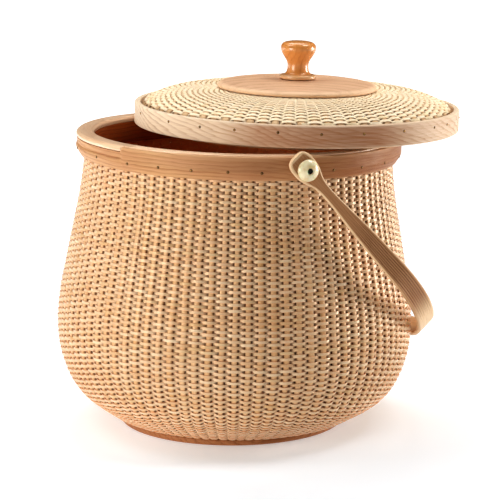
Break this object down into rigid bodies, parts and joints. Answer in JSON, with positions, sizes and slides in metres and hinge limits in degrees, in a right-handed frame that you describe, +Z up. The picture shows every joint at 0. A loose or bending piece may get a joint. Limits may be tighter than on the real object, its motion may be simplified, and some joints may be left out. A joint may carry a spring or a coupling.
{
  "type": "lidded woven basket",
  "caption": "Bulbous cane basket on a turned wooden base, with a bentwood rim, a swing handle on bone buttons and a loose domed woven lid with a turned knob.",
  "frame": {"origin": "centre of the base's flat underside", "axes": "+Z up out of the base; -Y towards the picture's camera; +X to its right"},
  "size_m": [0.3491, 0.327, 0.3289],
  "materials": {
    "cane": "natural woven cane, satin",
    "rim_wood": "varnished bentwood",
    "hoop_wood": "satin bentwood",
    "base_wood": "varnished turned wood",
    "disc_wood": "satin turned wood",
    "knob_wood": "gloss varnished turned wood",
    "handle_wood": "worn bentwood",
    "bone": "polished bone",
    "dark_pin": "dark metal pin",
    "brass": "dulled brass",
    "steel": "plain steel screw"
  },
  "bodies": {
    "basket": {"base_plate": "base_wood", "body_weave_foot": "cane", "body_weave_lower_belly": "cane", "body_weave_belly": "cane", "body_weave_shoulder": "cane", "body_weave_neck": "cane", "rim_outer_hoop": "rim_wood", "rim_inner_hoop": "rim_wood", "rim_cap": "rim_wood", "pivot_pin_front": "dark_pin", "pivot_pin_back": "dark_pin", "pivot_spacer_front": "bone", "pivot_spacer_back": "bone", "pivot_button_front": "bone", "pivot_button_back": "bone", "rim_nail_1": "brass", "rim_nail_2": "brass", "rim_nail_3": "brass", "rim_nail_4": "brass", "rim_nail_5": "brass", "rim_nail_6": "brass", "rim_nail_7": "brass", "rim_nail_8": "brass", "rim_nail_9": "brass", "rim_nail_10": "brass", "rim_nail_11": "brass", "rim_nail_12": "brass", "rim_nail_13": "brass", "rim_nail_14": "brass", "rim_nail_15": "brass", "rim_nail_16": "brass", "rim_nail_17": "brass", "rim_nail_18": "brass", "rim_nail_19": "brass"},
    "handle": {"handle": "handle_wood"},
    "lid": {"lid_hoop": "hoop_wood", "lid_weave": "cane", "lid_locating_ring": "hoop_wood", "lid_disc": "disc_wood", "lid_knob": "knob_wood", "knob_screw": "steel", "lid_nail_1": "brass", "lid_nail_2": "brass", "lid_nail_3": "brass", "lid_nail_4": "brass", "lid_nail_5": "brass", "lid_nail_6": "brass", "lid_nail_7": "brass", "lid_nail_8": "brass", "lid_nail_9": "brass", "lid_nail_10": "brass", "lid_nail_11": "brass", "lid_nail_12": "brass", "lid_nail_13": "brass", "lid_nail_14": "brass", "lid_nail_15": "brass", "lid_nail_16": "brass", "lid_nail_17": "brass", "lid_nail_18": "brass", "lid_nail_19": "brass"}
  },
  "joints": [
    {"name": "handle_swing", "type": "hinge", "parent": "basket", "child": "handle", "pos_m": [0.00588, 0, 0.24243], "axis": [0.3692, -0.9293, -0.009], "range_deg": [0, 271]},
    {"name": "lid_lift", "type": "slide", "parent": "basket", "child": "lid", "axis": [0.0243, 0, 0.9997], "range_m": [0, 0.25]}
  ]
}
